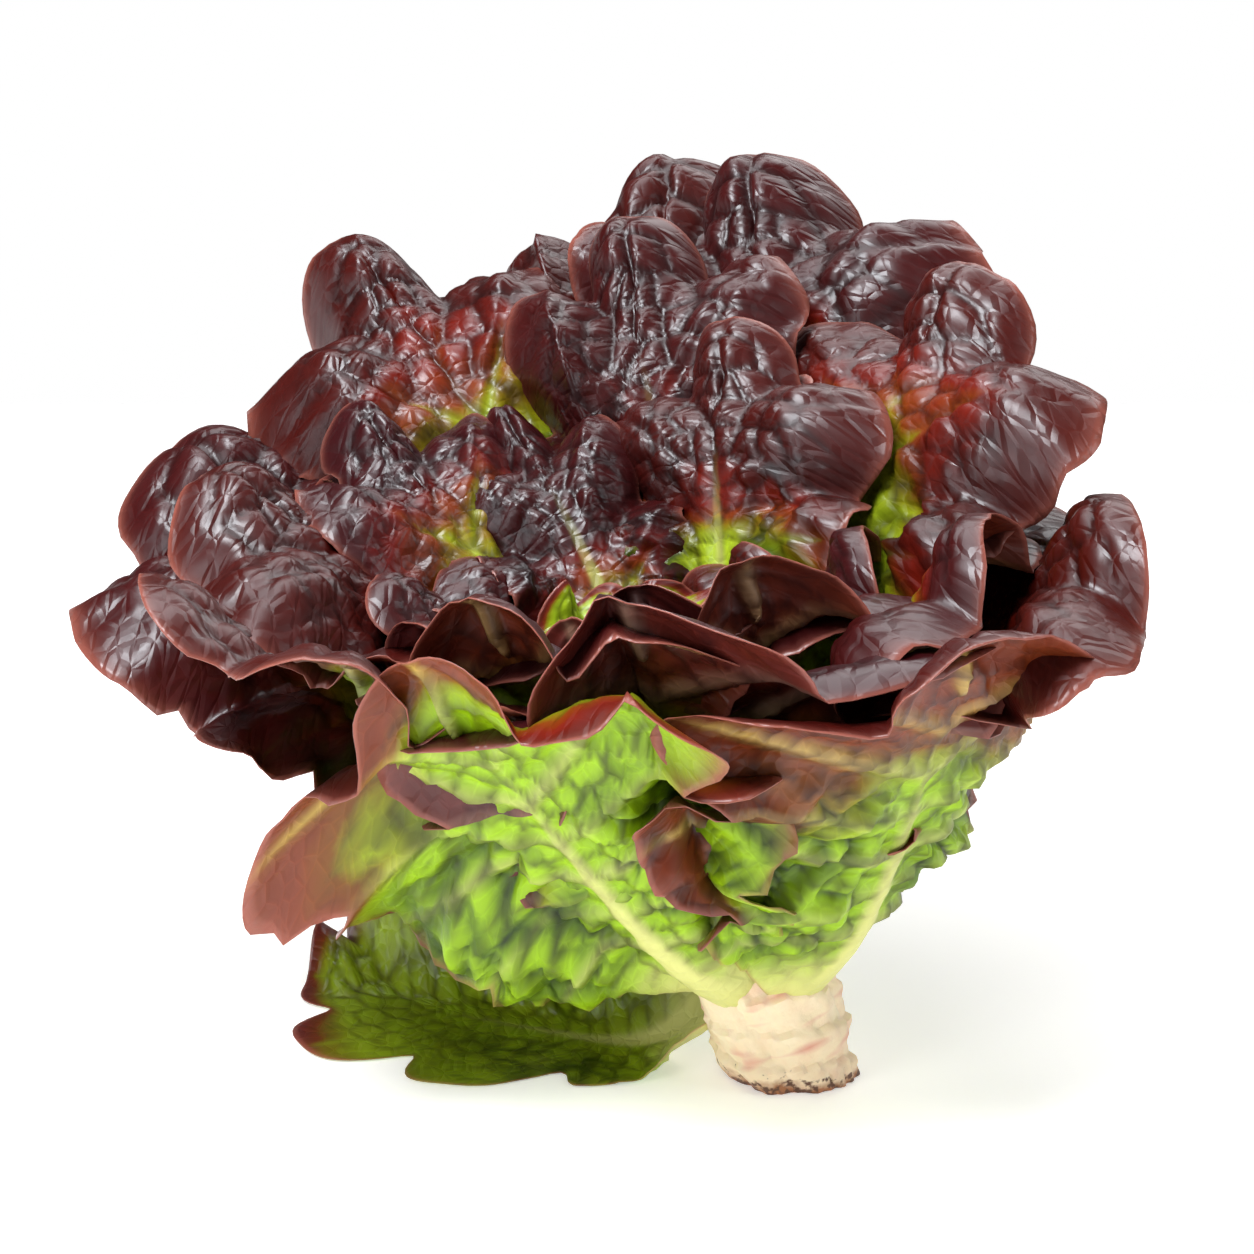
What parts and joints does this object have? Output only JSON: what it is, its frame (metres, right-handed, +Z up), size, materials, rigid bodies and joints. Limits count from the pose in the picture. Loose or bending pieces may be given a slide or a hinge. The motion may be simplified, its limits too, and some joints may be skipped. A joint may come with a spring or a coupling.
{
  "type": "oak leaf lettuce",
  "caption": "Cut head of red oak leaf lettuce: a leaning rosette of lobed, ruffled leaves, green at the foot and deep red at the edge, on a short stem.",
  "frame": {"origin": "middle of the butt's cut face, on the surface that the head stands on", "axes": "+Z up, -Y towards the viewer of the picture, and the head leans towards -X"},
  "size_m": [0.2374, 0.2443, 0.1995],
  "materials": {
    "leaf": "waxy leaf, deep red over green",
    "heart": "waxy leaf, pale green",
    "stem": "moist cream stem, browned cut"
  },
  "bodies": {
    "root": {"stem": "stem", "heart": "heart", "leaf_01": "leaf", "leaf_02": "leaf", "leaf_03": "leaf", "leaf_04": "leaf", "leaf_05": "leaf", "leaf_06": "leaf", "leaf_07": "leaf", "leaf_08": "leaf", "leaf_09": "leaf", "leaf_10": "leaf", "leaf_11": "leaf", "leaf_12": "leaf", "leaf_13": "leaf", "leaf_14": "leaf", "leaf_15": "leaf", "leaf_16": "leaf", "leaf_17": "leaf", "leaf_18": "leaf", "leaf_19": "leaf", "leaf_20": "leaf", "leaf_21": "leaf", "leaf_22": "leaf", "leaf_23": "leaf", "leaf_24": "leaf", "leaf_25": "leaf", "leaf_26": "leaf"}
  },
  "joints": []
}
